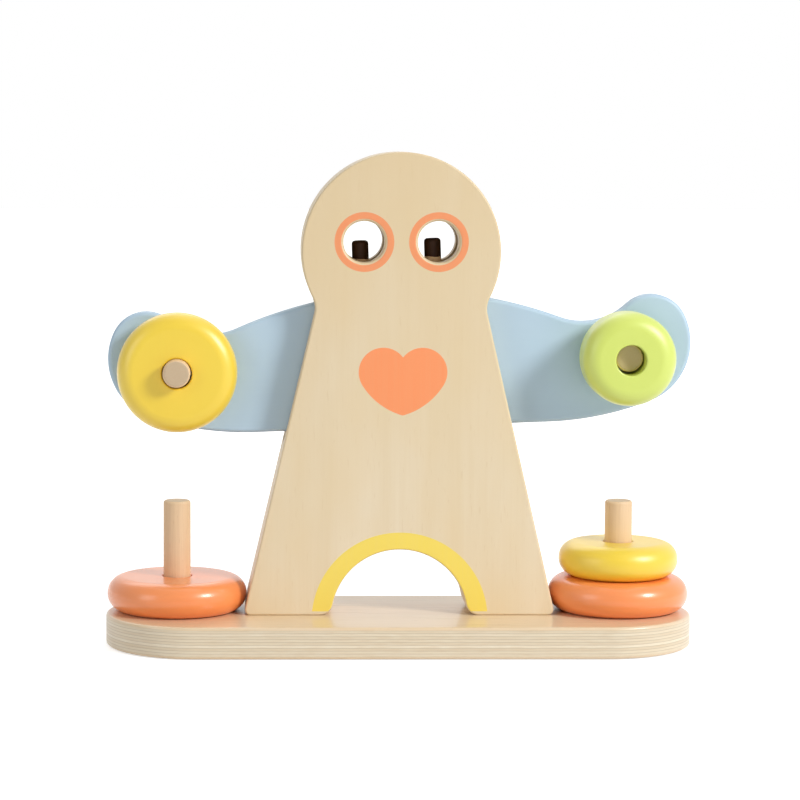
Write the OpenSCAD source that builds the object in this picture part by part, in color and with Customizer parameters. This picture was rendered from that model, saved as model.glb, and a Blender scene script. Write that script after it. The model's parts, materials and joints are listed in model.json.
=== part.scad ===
// Weightlifter balance game: a wooden figure on a board, whose arms are one tilting beam.
// Pegs on the hands and on the board carry bored weights. Two pins that stand on the beam
// are the pupils of the eyes, so the figure looks towards its lighter side.
// Origin: middle of the board's underside. +X to the viewer's right, -Y to the front, +Z up.

/* [Base board] */
// Depth of the board, front to back; its ends are half circles
base_d = 88; // [74:1:106]
// Thickness of the plywood
base_t = 15; // [12:0.5:20]
// Rounding along the board's top and bottom edges
base_edge_r = 1.5; // [0.5:0.5:5]
// From the middle of a base peg to the end of the board
base_end = 33.8; // [28:0.1:41]
// How far the figure, the beam and the pegs stand behind the board's middle line
row_set_back = 5.5; // [0:0.5:10]

/* [Pegs] */
// Diameter of all four pegs
peg_d = 13; // [10:0.5:16]
// Chamfer on a peg's free end
peg_chamfer = 1; // [0.4:0.1:2]
// Height of a base peg above the board
base_peg_h = 53; // [45:1:66]
// Depth of a base peg's hole in the board
base_peg_seat = 10; // [6:0.5:11]
// Length of an arm peg in front of the beam
arm_peg_l = 23.5; // [19.6:0.1:29]

/* [Weights] */
// Diameter of the large weights
large_weight_d = 66.8; // [54:0.2:80]
// Diameter of the medium weights
medium_weight_d = 57; // [46:0.5:70]
// Diameter of the small weight
small_weight_d = 44; // [36:0.5:54]
// Thickness of the large and medium weights
weight_t = 16.6; // [13.6:0.1:20]
// Thickness of the small weight
small_weight_t = 27.7; // [22:0.1:34]
// From the hand to the small weight, which hangs part way along its peg
small_weight_off = 3.5; // [0:0.1:6]
// Rounding of a weight's rim, limited by its thickness
weight_rim_r = 8; // [4:0.1:10]
// Chamfer at both ends of a weight's bore
bore_chamfer = 0.8; // [0.3:0.1:1.5]
// Diameter of a weight's bore beyond the peg's
weight_bore_play = 1.2; // [0.6:0.1:2]

/* [Figure] */
// Thickness of the front and back panels
panel_t = 11; // [8:0.5:15]
// Rounding along the panels' outer edges
panel_edge_r = 2; // [0.5:0.5:2.4]
// Radius of the head
head_r = 47; // [40:0.5:57]
// Height of the head's middle above the board
head_h = 172.8; // [165:0.1:208]
// Angle below the head's middle at which the sides meet the head
neck_angle = 32; // [26:1:40]
// Radius in the corner between head and sides
neck_r = 11.5; // [6:0.5:16]
// Width across the feet
foot_w = 148.4; // [124:0.2:178]
// Rounding of the outer corners of the feet
foot_outer_r = 2.6; // [2.4:0.2:6]
// Rounding of the inner corners of the feet
foot_inner_r = 6.4; // [2.4:0.2:8]
// Radius of the arch between the feet
arch_r = 32.2; // [24:0.2:38]
// How far the arch's middle lies below the board's top
arch_drop = 0.8; // [0:0.1:3]

/* [Eyes] */
// Height of the eyes over the head's middle
eye_rise = 4.8; // [0:0.1:8]
// Distance between the eyes
eye_spacing = 35.1; // [30:0.1:42]
// Diameter of an eye hole
eye_d = 19.6; // [17:0.2:24]
// Rounding around the outside of an eye hole
eye_edge_r = 1.2; // [0.3:0.1:2]
// Diameter of a pupil pin
pupil_d = 8; // [6:0.5:10]
// Chamfer on top of a pupil pin
pupil_chamfer = 1; // [0.4:0.1:1.6]
// Distance between the pupil pins
pupil_spacing = 34.5; // [30:0.1:42]
// Height of a pupil's top over the middle of its eye
pupil_over_eye = 0.8; // [0:0.1:4]
// Depth of a pupil pin's hole in the beam
pupil_seat = 12; // [8:0.5:16]
// Radius of the hollow in the head behind the eyes
head_hollow_r = 34; // [28:0.5:40]

/* [Arm beam] */
// Thickness of the beam
beam_t = 10; // [8:0.5:13]
// Rounding along the beam's edges
beam_edge_r = 2; // [0.5:0.5:3.5]
// Height of the beam's top edge above the pivot, in the middle
beam_rise = 23.55; // [19:0.05:29]
// Depth of the beam's lower edge below the pivot
beam_drop = 41.4; // [34:0.1:50]
// Radius of the long curve over the shoulders
shoulder_r = 205; // [170:1:250]
// Radius of the dip between shoulder and hand
dip_r = 31; // [25:0.5:38]
// Radius of a hand's upper tip
hand_tip_r = 17.2; // [14:0.1:21]
// Radius of a hand's outer side
palm_r = 30; // [25:0.5:36]
// Angle at which the hand's outer side turns into its tip
hand_lean = 26; // [20:1:32]
// From an arm peg to the end of the hand
hand_reach = 33; // [27:0.5:40]
// Height of the hand's middle below the pivot
palm_below_pivot = 4.8; // [3.9:0.1:6]
// Height of the arm pegs below the pivot
arm_peg_below_pivot = 10; // [8:0.5:12]
// Radius of the curve under the forearm
forearm_r = 148; // [123:1:178]

/* [Pivot] */
// Height of the pivot above the board
pivot_h = 130; // [127:0.5:140]
// Diameter of the axle
axle_d = 8; // [6:0.5:10]
// Depth of the axle's blind hole in each panel
axle_seat = 7; // [5:0.5:7.5]
// Outer diameter of the washers
washer_d = 16; // [13:0.5:20]
// Tilt to either side at which the beam meets its stop
tilt_limit = 7; // [5:0.5:8]
// Tilt as drawn, left hand down
rest_tilt = 2.1; // [0:0.1:4]

/* [Screws] */
// Length of a screw
screw_l = 35; // [28:1:42]
// Diameter of a screw's shank
screw_d = 4; // [3:0.5:5]
// Diameter of a screw's countersunk head
screw_head_d = 8; // [6.5:0.5:9.5]
// Depth of a screw's head below the underside
screw_recess = 0.5; // [0.2:0.1:1]
// Distance between the two screws of one foot
screw_spacing = 18; // [15:0.5:21]
// Width of the cross recess in a screw's head
cross_w = 1.2; // [0.8:0.1:1.6]
// Depth of the cross recess in a screw's head
cross_deep = 1.6; // [1:0.1:2]

/* [Clearances] */
// Gap around a glued dowel, on the radius
glue_gap = 0.04; // [0.02:0.01:0.1]
// Gap around the axle in the beam and washers, and where a weight hangs on its peg
running_gap = 0.08; // [0.02:0.01:0.1]
// Gap between the beam and each panel
beam_side_gap = 1; // [0.6:0.1:2]
// Gap between a washer and the beam
washer_gap = 0.2; // [0.1:0.05:0.4]
// Gap between the beam and its stop at full tilt
stop_gap = 0.3; // [0.2:0.1:1]
// Gap between the beam and the head's core at full tilt
head_core_gap = 2; // [0.5:0.1:4]
// Gap between a large weight and the side of the figure
weight_side_gap = 0.2; // [0.1:0.1:3]

/* [Hidden] */

$fn = 96;
left = -1;
right = 1;
// A cut starts this far outside the face that it opens
over = 1;
// Steps of the quarter round along an eased edge
edge_steps = 4;
// Steps along the outlines
arch_steps = 16;
corner_steps = 6;
arm_steps = 8;
hand_steps = 12;
neck_steps = 8;
head_steps = 26;
// Least height of the straight part of a weight's rim
rim_flat = 0.2;

natural_wood = "burlywood";
beech = "tan";
sky_blue = "lightblue";
yellow = "gold";
lime = "yellowgreen";
orange = "coral";
near_black = "#24140c";

// Depths, front to back
row_y = row_set_back;
core_t = beam_t + 2 * beam_side_gap;
core_front_y = row_y - core_t / 2;
core_back_y = row_y + core_t / 2;
figure_front_y = core_front_y - panel_t;
figure_back_y = core_back_y + panel_t;
beam_front_y = row_y - beam_t / 2;
beam_back_y = row_y + beam_t / 2;

// Figure, in its own plane: x across, z above the board
foot_half = foot_w / 2;
head_c = [0, head_h];
eye_h = head_h + eye_rise;
neck = head_c + head_r * [cos(neck_angle), -sin(neck_angle)];
side_dir = unit([foot_half, 0] - neck);
side_out = [-side_dir[1], side_dir[0]];
side_angle = atan2(side_out[1], side_out[0]);
// The neck's corner touches both the head's circle and the side
neck_from_head = neck + neck_r * side_out - head_c;
neck_along = neck_from_head * side_dir;
neck_slide = -neck_along + sqrt(neck_along * neck_along - neck_from_head * neck_from_head
                                + pow(head_r + neck_r, 2));
neck_c = neck + neck_r * side_out + neck_slide * side_dir;
neck_turn = direction(neck_c - head_c);
outer_corner_c = [foot_half - foot_outer_r * (1 + side_out[1]) / side_out[0], foot_outer_r];
arch_c = [0, -arch_drop];
inner_corner_c = [sqrt(pow(arch_r + foot_inner_r, 2) - pow(arch_drop + foot_inner_r, 2)), foot_inner_r];
inner_corner_turn = direction(inner_corner_c - arch_c);

// The round rim of a large weight just clears the slanting side of the figure, and the hands
// stand over the base pegs
side_slope = -side_dir[0] / side_dir[1];
large_rim_r = rim_r(weight_t);
peg_x = foot_half - side_slope * large_rim_r + (large_rim_r + weight_side_gap) / side_out[0]
        + large_weight_d / 2 - large_rim_r;
base_half_l = peg_x + base_end;
peg_hole_d = peg_d + 2 * glue_gap;
weight_bore_d = peg_d + weight_bore_play;

// Beam, in its own plane: x across, z above the pivot
shoulder_c = [0, beam_rise - shoulder_r];
palm_c = [peg_x + hand_reach - palm_r, -palm_below_pivot];
hand_tip_c = palm_c + (palm_r - hand_tip_r) * [cos(hand_lean), sin(hand_lean)];
dip_c = upper_meeting(shoulder_c, shoulder_r + dip_r, hand_tip_c, hand_tip_r + dip_r);
forearm_up = forearm_r - beam_drop;
forearm_c = [palm_c[0] - sqrt(pow(forearm_r - palm_r, 2) - pow(palm_c[1] - forearm_up, 2)),
             forearm_up];
pupil_x = pupil_spacing / 2;
pupil_top = eye_h + pupil_over_eye - pivot_h;
pupil_foot = shoulder_c[1] + sqrt(shoulder_r * shoulder_r - pupil_x * pupil_x) - pupil_seat;

// Above the beam at full tilt
head_core_bottom = pivot_h + shoulder_r - (shoulder_r - beam_rise) * cos(tilt_limit) + head_core_gap;
// Below the beam at full tilt
stop_ridge = pivot_h - (beam_drop + stop_gap) / cos(tilt_limit);
stop_at_foot = stop_ridge - foot_half * tan(tilt_limit);

foot_mid = (arch_r + foot_half) / 2;
screw_xs = [for (side = [left, right]) for (step = [-1, 1]) side * foot_mid + step * screw_spacing / 2];
screw_cone_h = (screw_head_d - screw_d) / 2;

function unit(v) = v / norm(v);
function direction(v) = atan2(v[1], v[0]);
function rim_r(t) = min(weight_rim_r, (t - rim_flat) / 2);
// Points along an arc or a line, without the first, on which the stretch before it ends
function arc(c, r, from, to, steps) =
    [for (i = [1:steps]) let (a = from + (to - from) * i / steps) c + r * [cos(a), sin(a)]];
function line(from, to, steps) = [for (i = [1:steps]) from + (to - from) * i / steps];

// Of the two points at distance ra from a and rb from b, the upper one
function upper_meeting(a, ra, b, rb) =
    let (d = norm(b - a),
         along = (ra * ra - rb * rb + d * d) / (2 * d),
         aside = sqrt(ra * ra - along * along),
         u = (b - a) / d)
    a + along * u + aside * [-u[1], u[0]];

// Whole outline from its right half, which runs from the middle line back to the middle line
function both_halves(half) =
    concat(half, [for (i = [len(half) - 2:-1:1]) [-half[i][0], half[i][1]]]);

// The figure's outline, moved in by inset all round. A foot's two edges have equally many
// points, so that its face can be filled straight across from one edge to the other.
function figure_outline(inset) = both_halves(concat(
    [arch_c + [0, arch_r + inset]],
    arc(arch_c, arch_r + inset, 90, inner_corner_turn, arch_steps),
    arc(inner_corner_c, foot_inner_r - inset, 180 + inner_corner_turn, 270, corner_steps),
    [[outer_corner_c[0], inset]],
    arc(outer_corner_c, foot_outer_r - inset, 270, 360 + side_angle, corner_steps - 1),
    line(outer_corner_c + (foot_outer_r - inset) * side_out,
         neck_c - (neck_r + inset) * side_out, arch_steps + 1),
    arc(neck_c, neck_r + inset, 180 + side_angle, 180 + neck_turn, neck_steps),
    arc(head_c, head_r - inset, neck_turn, 90, head_steps)));

// The beam's outline, moved in by inset all round, with equally many points below and above
function beam_outline(inset) =
    let (dip_from_hand = direction(hand_tip_c - dip_c),
         dip_from_shoulder = direction(shoulder_c - dip_c))
    both_halves(concat(
        [[0, inset - beam_drop]],
        line([0, inset - beam_drop], [forearm_c[0], inset - beam_drop], arm_steps),
        arc(forearm_c, forearm_r - inset, -90, direction(palm_c - forearm_c), arm_steps),
        arc(palm_c, palm_r - inset, direction(palm_c - forearm_c), hand_lean, hand_steps),
        arc(hand_tip_c, hand_tip_r - inset, hand_lean, 180 + dip_from_hand, hand_steps),
        arc(dip_c, dip_r + inset, dip_from_hand, dip_from_shoulder, arm_steps),
        arc(shoulder_c, shoulder_r - inset, 180 + dip_from_shoulder, 90, arm_steps)));

// Depth from the face and inset of each step round an eased edge, from the face inwards
function eased(r) =
    [for (i = [0:edge_steps]) let (a = 90 * i / edge_steps) [r * (1 - cos(a)), r * (1 - sin(a))]];

// Faces straight across an outline, between points whose numbers add up to total
function across(total, first) =
    [for (k = [first:floor(total / 2) - 1])
     k + 1 == total - k - 1 ? [k, k + 1, total - k] : [k, k + 1, total - k - 1, total - k]];
function flipped(face) = [for (i = [len(face) - 1:-1:0]) face[i]];
// The same faces on the left half of an outline with n points
function left_half(faces, n) = [for (face = faces) flipped([for (i = face) (n - i) % n])];

// How the face of the figure is filled: each foot across, then from side to side
function figure_faces(n) =
    let (foot = 2 * (arch_steps + corner_steps) + 1)
    concat(across(foot, 0), left_half(across(foot, 0), n), [[0, foot, n - foot]], across(n, foot));
// How the face of the beam is filled: each arm from its lower edge to its upper edge
function beam_faces(n) = concat(across(n / 2, 0), left_half(across(n / 2, 0), n));

// Upright solid through a list of outlines with equally many points, from front to back
module through_outlines(depths, outlines, faces) {
    n = len(outlines[0]);
    last = len(depths) - 1;
    points = [for (i = [0:last]) for (p = outlines[i]) [p[0], depths[i], p[1]]];
    walls = [for (i = [0:last - 1]) for (j = [0:n - 1]) let (k = (j + 1) % n)
             [i * n + j, i * n + k, (i + 1) * n + k, (i + 1) * n + j]];
    front = [for (face = faces) flipped(face)];
    back = [for (face = faces) [for (j = face) last * n + j]];
    polyhedron(points, concat(front, walls, back));
}

// What lies in the figure's plane, as a plate between two depths
module upright(front_y, back_y) {
    translate([0, back_y, base_t]) rotate([90, 0, 0]) linear_extrude(back_y - front_y) children();
}

// A round bar along +Y
module bar_y(d, from_y, to_y) {
    translate([0, from_y, 0]) rotate([-90, 0, 0]) cylinder(d = d, h = to_y - from_y);
}

// A dowel on end, with a chamfer around its top
module dowel(d, l, chamfer) {
    cylinder(d = d, h = l - chamfer);
    translate([0, 0, l - chamfer]) cylinder(d1 = d, d2 = d - 2 * chamfer, h = chamfer);
}

// What belongs to the beam, drawn level about the pivot
module on_beam() {
    translate([0, 0, base_t + pivot_h]) rotate([0, -rest_tilt, 0]) children();
}

// Lying on the board at a peg
module on_board(side) {
    translate([side * peg_x, row_y, base_t]) children();
}

// Turned to lie on the beam's front, at a hand
module on_hand(side) {
    on_beam() translate([side * peg_x, beam_front_y, -arm_peg_below_pivot]) rotate([90, 0, 0]) children();
}

// On a hand's peg, down by the play in the bore, so that it hangs on the peg
module on_hand_peg(side) {
    on_hand(side) translate([0, running_gap - weight_bore_play / 2, 0]) children();
}

// Bored disc on its flat face, with a full round rim
module weight(d, t) {
    edge_r = rim_r(t);
    r = d / 2;
    bore_r = weight_bore_d / 2;
    wide_r = bore_r + bore_chamfer;
    rotate_extrude() difference() {
        union() {
            square([r - edge_r, t]);
            translate([0, edge_r]) square([r, t - 2 * edge_r]);
            for (z = [edge_r, t - edge_r]) translate([r - edge_r, z]) circle(edge_r);
        }
        polygon([[-over, -over], [wide_r, -over], [wide_r, 0], [bore_r, bore_chamfer],
                 [bore_r, t - bore_chamfer], [wide_r, t], [wide_r, t + over], [-over, t + over]]);
    }
}

// Half of the board's section, from the middle line out to the eased edge
module board_section(half_w) {
    square([half_w - base_edge_r, base_t]);
    translate([0, base_edge_r]) square([half_w, base_t - 2 * base_edge_r]);
    for (z = [base_edge_r, base_t - base_edge_r]) translate([half_w - base_edge_r, z]) circle(base_edge_r);
}

// A countersunk screw, head down, or the hole for one
module screw_shape(gap) {
    translate([0, 0, screw_recess]) {
        cylinder(d1 = screw_head_d + 2 * gap, d2 = screw_d + 2 * gap, h = screw_cone_h);
        cylinder(d = screw_d + 2 * gap, h = screw_l + gap);
    }
}

module base_board() {
    end_r = base_d / 2;
    straight = 2 * (base_half_l - end_r);
    color(natural_wood) difference() {
        union() {
            for (side = [left, right])
                translate([side * straight / 2, 0, 0]) rotate([0, 0, -side * 90])
                    rotate_extrude(angle = 180) board_section(end_r);
            for (turn = [0, 180])
                rotate([0, 0, turn]) translate([-straight / 2, 0, 0]) rotate([90, 0, 90])
                    linear_extrude(straight) board_section(end_r);
        }
        for (side = [left, right])
            on_board(side) translate([0, 0, -base_peg_seat])
                cylinder(d = peg_hole_d, h = base_peg_seat + over);
        for (x = screw_xs) translate([x, row_y, 0]) {
            screw_shape(glue_gap);
            translate([0, 0, -over]) cylinder(d = screw_head_d + 2 * glue_gap, h = over + screw_recess);
        }
    }
}

module base_peg(side) {
    color(beech) on_board(side) translate([0, 0, -base_peg_seat])
        dowel(peg_d, base_peg_seat + base_peg_h, peg_chamfer);
}

module left_base_peg() { base_peg(left); }
module right_base_peg() { base_peg(right); }

// The eye holes of a panel, with their outer edge at face_y eased
module eye_holes(face_y, inner_y) {
    eye_r = eye_d / 2;
    into = sign(inner_y - face_y);
    for (side = [left, right])
        translate([side * eye_spacing / 2, face_y, base_t + eye_h]) rotate([-90 * into, 0, 0])
            rotate_extrude() polygon(concat(
                [[0, -over], [eye_r + eye_edge_r, -over]],
                [for (s = eased(eye_edge_r)) [eye_r + s[1], s[0]]],
                [[eye_r, panel_t + over], [0, panel_t + over]]));
}

module front_panel() {
    steps = eased(panel_edge_r);
    color(natural_wood) difference() {
        translate([0, 0, base_t]) through_outlines(
            concat([for (s = steps) figure_front_y + s[0]], [core_front_y]),
            concat([for (s = steps) figure_outline(s[1])], [figure_outline(0)]),
            figure_faces(len(figure_outline(0))));
        eye_holes(figure_front_y, core_front_y);
        translate([0, 0, base_t + pivot_h])
            bar_y(axle_d + 2 * glue_gap, core_front_y - axle_seat, core_front_y + over);
    }
}

module back_panel() {
    steps = eased(panel_edge_r);
    color(natural_wood) difference() {
        translate([0, 0, base_t]) through_outlines(
            concat([core_back_y], [for (i = [edge_steps:-1:0]) figure_back_y - steps[i][0]]),
            concat([figure_outline(0)], [for (i = [edge_steps:-1:0]) figure_outline(steps[i][1])]),
            figure_faces(len(figure_outline(0))));
        eye_holes(figure_back_y, core_back_y);
        translate([0, 0, base_t + pivot_h])
            bar_y(axle_d + 2 * glue_gap, core_back_y - over, core_back_y + axle_seat);
    }
}

// Legs between the panels; the roof-shaped top stops the beam
module body_core() {
    color(natural_wood) difference() {
        upright(core_front_y, core_back_y) intersection() {
            polygon(figure_outline(0));
            polygon([[-foot_half, 0], [foot_half, 0], [foot_half, stop_at_foot],
                     [0, stop_ridge], [-foot_half, stop_at_foot]]);
        }
        for (x = screw_xs) translate([x, row_y, 0]) screw_shape(glue_gap);
    }
}

// Rim of the head between the panels
module head_core() {
    color(natural_wood) upright(core_front_y, core_back_y) difference() {
        intersection() {
            polygon(figure_outline(0));
            translate([-head_r, head_core_bottom]) square([2 * head_r, head_h + head_r - head_core_bottom]);
        }
        translate(head_c) circle(head_hollow_r);
        translate([-head_hollow_r, head_core_bottom - over])
            square([2 * head_hollow_r, head_h - head_core_bottom + over]);
    }
}

module pivot_axle() {
    color(beech) translate([0, 0, base_t + pivot_h])
        bar_y(axle_d, core_front_y - axle_seat, core_back_y + axle_seat);
}

module washer(from_y) {
    washer_t = beam_side_gap - washer_gap;
    color("ivory") translate([0, 0, base_t + pivot_h]) difference() {
        bar_y(washer_d, from_y, from_y + washer_t);
        bar_y(axle_d + 2 * running_gap, from_y - over, from_y + washer_t + over);
    }
}

module front_pivot_washer() { washer(core_front_y); }
module rear_pivot_washer() { washer(core_back_y - beam_side_gap + washer_gap); }

module base_screws() {
    color("silver") for (x = screw_xs) translate([x, row_y, 0]) difference() {
        screw_shape(0);
        for (turn = [0, 90]) rotate([0, 0, turn])
            translate([-screw_d / 2, -cross_w / 2, screw_recess - over])
                cube([screw_d, cross_w, cross_deep + over]);
    }
}

module arm_beam() {
    steps = eased(beam_edge_r);
    insets = concat([for (s = steps) s[1]], [for (i = [edge_steps:-1:0]) steps[i][1]]);
    depths = concat([for (s = steps) beam_front_y + s[0]],
                    [for (i = [edge_steps:-1:0]) beam_back_y - steps[i][0]]);
    color(sky_blue) on_beam() difference() {
        through_outlines(depths, [for (inset = insets) beam_outline(inset)],
                         beam_faces(len(beam_outline(0))));
        bar_y(axle_d + 2 * running_gap, beam_front_y - over, beam_back_y + over);
        for (side = [left, right]) {
            translate([side * peg_x, 0, -arm_peg_below_pivot])
                bar_y(peg_hole_d, beam_front_y - over, beam_back_y + over);
            translate([side * pupil_x, row_y, pupil_foot])
                cylinder(d = pupil_d + 2 * glue_gap, h = pupil_top - pupil_foot);
        }
    }
}

module arm_peg(side) {
    color(beech) on_hand(side) translate([0, 0, -beam_t]) dowel(peg_d, beam_t + arm_peg_l, peg_chamfer);
}

module left_arm_peg() { arm_peg(left); }
module right_arm_peg() { arm_peg(right); }

module pupil_pin(side) {
    color(near_black) on_beam() translate([side * pupil_x, row_y, pupil_foot])
        dowel(pupil_d, pupil_top - pupil_foot, pupil_chamfer);
}

module left_pupil_pin() { pupil_pin(left); }
module right_pupil_pin() { pupil_pin(right); }

module left_arm_weight() { color(yellow) on_hand_peg(left) weight(medium_weight_d, weight_t); }
module right_arm_weight() {
    color(lime) on_hand_peg(right) translate([0, 0, small_weight_off]) weight(small_weight_d, small_weight_t);
}
module left_base_weight() { color(orange) on_board(left) weight(large_weight_d, weight_t); }
module right_lower_weight() { color(orange) on_board(right) weight(large_weight_d, weight_t); }
module right_upper_weight() {
    color(yellow) on_board(right) translate([0, 0, weight_t]) weight(medium_weight_d, weight_t);
}

base_board();
left_base_peg();
right_base_peg();
front_panel();
back_panel();
body_core();
head_core();
pivot_axle();
front_pivot_washer();
rear_pivot_washer();
base_screws();
arm_beam();
left_arm_peg();
right_arm_peg();
left_pupil_pin();
right_pupil_pin();
left_arm_weight();
right_arm_weight();
left_base_weight();
right_lower_weight();
right_upper_weight();
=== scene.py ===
import json
import math

import bmesh
import bpy
from mathutils import Matrix, Vector


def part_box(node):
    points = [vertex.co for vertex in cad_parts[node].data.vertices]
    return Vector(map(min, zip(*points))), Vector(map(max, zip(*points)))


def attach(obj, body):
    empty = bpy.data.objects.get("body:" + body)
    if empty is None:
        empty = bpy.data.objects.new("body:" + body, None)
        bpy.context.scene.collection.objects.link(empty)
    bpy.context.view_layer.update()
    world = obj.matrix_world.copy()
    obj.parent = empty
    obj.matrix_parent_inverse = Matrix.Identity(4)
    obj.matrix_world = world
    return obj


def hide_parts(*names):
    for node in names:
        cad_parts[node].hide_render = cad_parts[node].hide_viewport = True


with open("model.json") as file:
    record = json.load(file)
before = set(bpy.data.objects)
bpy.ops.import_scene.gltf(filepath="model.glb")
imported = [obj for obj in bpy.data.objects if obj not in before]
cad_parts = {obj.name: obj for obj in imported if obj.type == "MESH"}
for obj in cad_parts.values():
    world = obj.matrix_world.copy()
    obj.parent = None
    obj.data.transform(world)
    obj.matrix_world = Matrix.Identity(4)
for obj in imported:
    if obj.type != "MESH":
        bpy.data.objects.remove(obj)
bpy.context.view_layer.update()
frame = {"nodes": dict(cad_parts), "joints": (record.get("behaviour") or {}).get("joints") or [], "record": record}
scene = bpy.context.scene
scene.view_settings.view_transform = "Standard"

mm = 0.001
near = 0.02 * mm  # places closer than this count as the same
beyond = 5 * mm  # how far a cut starts outside the face that it opens
squareOn = 0.9  # a normal with this much of its length along an axis faces that way
smoothBelow = 38  # degrees between faces that are shaded as one
record = frame["record"]
bodyOf = {node: body for body, nodes in record["behaviour"]["bodies"].items() for node in nodes}
slotOf = {part["node"]: part["material_slot"] for part in record["subparts"]}
armJoint = next(joint for joint in frame["joints"] if joint["child"] == "arm")
pivot = Vector(armJoint["pos_m"])
print("frame loaded:", len(frame["nodes"]), "nodes")


# camera

cameraSettings = {
    "place": (-72 * mm, -1272 * mm, 245.2 * mm),
    "tiltDown": 4.91,  # degrees, as the next two
    "turnRight": 1.1,
    "roll": 0.16,
    "focalPixels": 2683,
    "framePixels": 800,
    "sensorWidth": 36,
    "shift": (0.1253, -0.05),
    "nearest": 50 * mm,
}


def placeCamera(settings):
    bpy.ops.object.select_all(action="DESELECT")
    turn = Matrix.Rotation(-math.radians(settings["turnRight"]), 3, "Z")
    turn @= Matrix.Rotation(math.radians(90 - settings["tiltDown"]), 3, "X")
    turn @= Matrix.Rotation(math.radians(settings["roll"]), 3, "Z")
    bpy.ops.object.camera_add(location=settings["place"], rotation=turn.to_euler())
    camera = bpy.context.object
    camera.name = "photoCamera"
    camera.data.sensor_fit = "HORIZONTAL"
    camera.data.sensor_width = settings["sensorWidth"]
    camera.data.lens = settings["sensorWidth"] * settings["focalPixels"] / settings["framePixels"]
    camera.data.shift_x, camera.data.shift_y = settings["shift"]
    camera.data.clip_start = settings["nearest"]
    scene.camera = camera


placeCamera(cameraSettings)
print("camera placed")


# shader building

def srgb(red, green, blue):
    channels = [value / 255 for value in (red, green, blue)]
    linear = [c / 12.92 if c <= 0.04045 else ((c + 0.055) / 1.055) ** 2.4 for c in channels]
    return (*linear, 1.0)


def feed(tree, socket, value):
    if isinstance(value, bpy.types.NodeSocket):
        tree.links.new(value, socket)
    elif value is not None:
        socket.default_value = value


def calc(tree, operation, first, second=None, third=None):
    node = tree.nodes.new("ShaderNodeMath")
    node.operation = operation
    for socket, value in zip(node.inputs, (first, second, third)):
        feed(tree, socket, value)
    return node.outputs[0]


def calcVector(tree, operation, first, second=None):
    node = tree.nodes.new("ShaderNodeVectorMath")
    node.operation = operation
    feed(tree, node.inputs[0], first)
    feed(tree, node.inputs[1], second)
    return node.outputs["Value" if operation == "LENGTH" else "Vector"]


def spread(tree, value, low, high, toLow=0.0, toHigh=1.0, smooth=False):
    node = tree.nodes.new("ShaderNodeMapRange")
    if smooth:
        node.interpolation_type = "SMOOTHSTEP"
    for socket, setting in zip(node.inputs, (value, low, high, toLow, toHigh)):
        feed(tree, socket, setting)
    return node.outputs["Result"]


def blendColours(tree, mask, first, second):
    node = tree.nodes.new("ShaderNodeMix")
    node.data_type = "RGBA"
    feed(tree, node.inputs["Factor"], mask)
    feed(tree, node.inputs["A"], first)
    feed(tree, node.inputs["B"], second)
    return node.outputs["Result"]


def tint(tree, colour, other, mask, share):
    return blendColours(tree, calc(tree, "MULTIPLY", mask, share), colour, other)


def noise(tree, point, scale, detail=2.0, roughness=0.5, distortion=0.0):
    node = tree.nodes.new("ShaderNodeTexNoise")
    feed(tree, node.inputs["Vector"], point)
    node.inputs["Scale"].default_value = scale
    node.inputs["Detail"].default_value = detail
    node.inputs["Roughness"].default_value = roughness
    node.inputs["Distortion"].default_value = distortion
    return node.outputs["Fac"]


def placeOnPiece(tree, turn=(0, 0, 0), shift=(0, 0, 0)):
    coordinates = tree.nodes.new("ShaderNodeTexCoord")
    mapping = tree.nodes.new("ShaderNodeMapping")
    tree.links.new(coordinates.outputs["Object"], mapping.inputs["Vector"])
    mapping.inputs["Location"].default_value = shift
    mapping.inputs["Rotation"].default_value = [math.radians(angle) for angle in turn]
    return mapping.outputs["Vector"]


def splitPoint(tree, point):
    node = tree.nodes.new("ShaderNodeSeparateXYZ")
    tree.links.new(point, node.inputs[0])
    return node.outputs["X"], node.outputs["Y"], node.outputs["Z"]


def newGroup(name, inputs, outputs):
    group = bpy.data.node_groups.new(name, "ShaderNodeTree")
    kinds = {"value": "NodeSocketFloat", "point": "NodeSocketVector"}
    for label, kind in inputs:
        group.interface.new_socket(name=label, in_out="INPUT", socket_type=kinds[kind])
    for label, kind in outputs:
        group.interface.new_socket(name=label, in_out="OUTPUT", socket_type=kinds[kind])
    given = group.nodes.new("NodeGroupInput").outputs
    put = group.nodes.new("NodeGroupOutput").inputs
    return group, given, put


def useGroup(tree, group, **settings):
    node = tree.nodes.new("ShaderNodeGroup")
    node.node_tree = group
    for label, value in settings.items():
        feed(tree, node.inputs[label], value)
    return node.outputs


def newMaterial(name):
    material = bpy.data.materials.new(name)
    material.use_nodes = True
    tree = material.node_tree
    return material, tree, tree.nodes["Principled BSDF"]


def roughen(tree, shader, mask, limits):
    feed(tree, shader.inputs["Roughness"], spread(tree, mask, 0, 1, *limits))


def raiseSurface(tree, shader, height, strength, distance=0.1 * mm):
    bump = tree.nodes.new("ShaderNodeBump")
    bump.inputs["Strength"].default_value = strength
    bump.inputs["Distance"].default_value = distance
    feed(tree, bump.inputs["Height"], height)
    tree.links.new(bump.outputs["Normal"], shader.inputs["Normal"])


# wood: slow figure, fine fibres and short dark pores, all running along the point's Z

grainSettings = {
    "figureAlong": 0.09,  # scale along the grain, in shares of that across it, as the next two
    "fibreAlong": 0.018,
    "poreAlong": 0.12,
    "poreScale": 1.3,
    "poreLimits": (0.66, 0.78),
    "contrast": (0.3, 0.7),
}


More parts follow.
